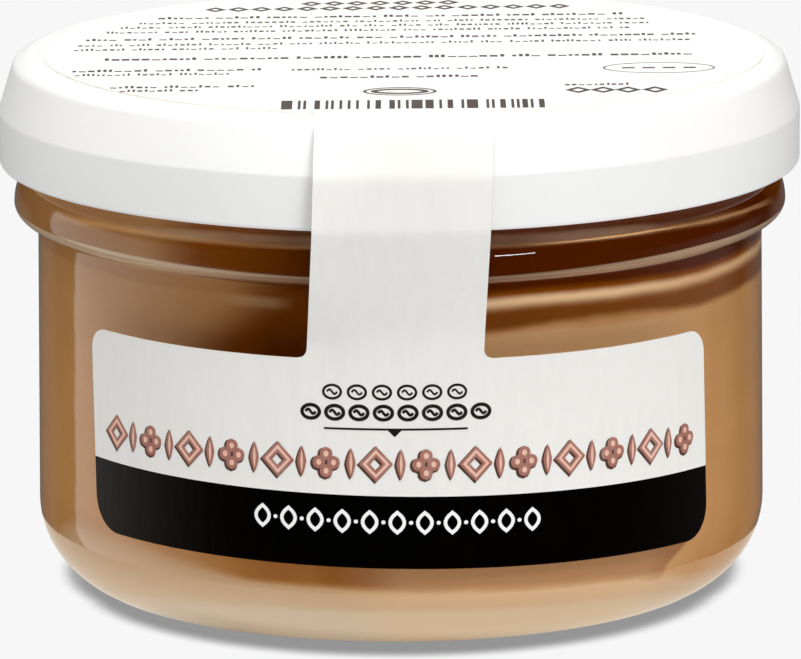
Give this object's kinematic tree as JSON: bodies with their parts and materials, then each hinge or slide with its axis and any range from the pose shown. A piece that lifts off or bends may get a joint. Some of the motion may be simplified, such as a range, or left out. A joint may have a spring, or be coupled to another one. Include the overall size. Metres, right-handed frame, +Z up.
{
  "type": "chocolate cream pot",
  "caption": "Low round glass pot filled with chocolate cream, shut by a white press-fit lid and sealed with a folded paper label.",
  "frame": {"origin": "centre of the pot's foot, on the surface it stands on", "axes": "+Z up along the pot's axis, the paper's front panel towards -Y, +X to the right of it"},
  "size_m": [0.0794, 0.0801, 0.0531],
  "materials": {
    "clear_glass": "polished",
    "cream": "satin",
    "white_plastic": "satin",
    "label_paper": "matte"
  },
  "bodies": {
    "root": {"glass_pot": "clear_glass", "chocolate_cream": "cream", "snap_lid": "white_plastic", "paper_seal": "label_paper"}
  },
  "joints": []
}
